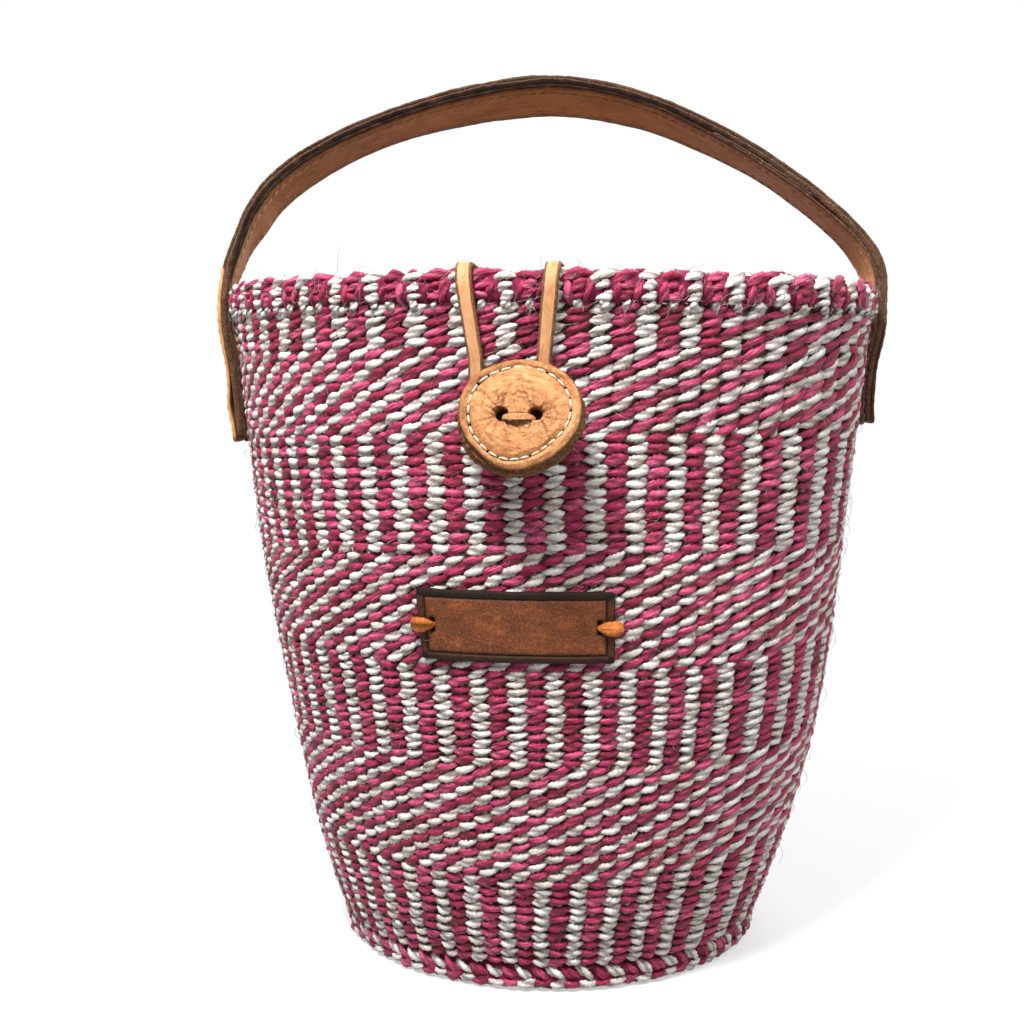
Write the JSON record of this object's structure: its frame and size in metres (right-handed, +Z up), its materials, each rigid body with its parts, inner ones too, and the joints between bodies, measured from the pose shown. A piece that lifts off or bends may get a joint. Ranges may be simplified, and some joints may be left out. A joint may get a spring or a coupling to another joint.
{
  "type": "sisal basket",
  "caption": "Round woven sisal basket, open on top, with a tilting leather strap handle, a button and loop closure and a bare leather label.",
  "frame": {"origin": "centre of the flat underside of the woven base", "axes": "+Z up through the mouth, -Y towards the front with the button, +X to the right seen from the front, along the handle's tilting axis"},
  "size_m": [0.2469, 0.257, 0.3199],
  "materials": {
    "sisal_weave": "dry twined sisal in magenta and natural white, matt with loose fibres",
    "sisal_base": "dry twined natural sisal, matt",
    "strap_leather": "waxed brown leather, satin, rubbed at the edges",
    "strap_core": "raw dark edge, rough and matt",
    "tan_leather": "vegetable tan leather, wrinkled, satin",
    "label_leather": "dark brown leather with a pressed border line and burnt edges",
    "thong_leather": "orange tan leather thong, satin"
  },
  "bodies": {
    "basket": {"woven_base": "sisal_base", "base_edge_braid": "sisal_weave", "woven_wall": "sisal_weave", "rim_braid": "sisal_weave", "strap_end_left_cover": "strap_leather", "strap_end_left_core": "strap_core", "strap_end_left_lining": "strap_leather", "strap_end_right_cover": "strap_leather", "strap_end_right_core": "strap_core", "strap_end_right_lining": "strap_leather", "loop_tail_left": "tan_leather", "loop_tail_right": "tan_leather", "loop_knot_left": "tan_leather", "loop_knot_right": "tan_leather", "button_shank_left": "thong_leather", "button_shank_right": "thong_leather", "button_knot": "thong_leather", "leather_label": "label_leather", "label_tie_left": "thong_leather", "label_tie_right": "thong_leather", "label_knot_left": "thong_leather", "label_knot_right": "thong_leather"},
    "handle": {"handle_cover": "strap_leather", "handle_core": "strap_core", "handle_lining_long": "strap_leather", "handle_lining_short": "strap_leather"},
    "loop_span": {"loop_leg_left": "tan_leather", "loop_leg_right": "tan_leather"},
    "loop_end": {"loop_drop": "tan_leather"},
    "button": {"button_back": "label_leather", "button_middle": "strap_core", "button_face": "tan_leather", "button_thong": "thong_leather"}
  },
  "joints": [
    {"name": "handle_tilt", "type": "hinge", "parent": "basket", "child": "handle", "pos_m": [0.0004, 0, 0.242], "axis": [1, 0, 0], "range_deg": [-25, 45]},
    {"name": "loop_lift", "type": "hinge", "parent": "basket", "child": "loop_span", "pos_m": [0.01552, 0.11037, 0.2413], "axis": [-0.9907, 0.1357, 0], "range_deg": [0, 18]},
    {"name": "loop_swing", "type": "hinge", "parent": "loop_span", "child": "loop_end", "pos_m": [-0.01472, -0.11037, 0.2413], "axis": [-0.9907, 0.1357, 0], "range_deg": [0, 65], "deforming": ["loop_drop"]},
    {"name": "button_rock", "type": "hinge", "parent": "basket", "child": "button", "pos_m": [-0.01152, -0.12313, 0.1955], "axis": [0.9907, -0.1357, 0], "range_deg": [0, 24]}
  ]
}
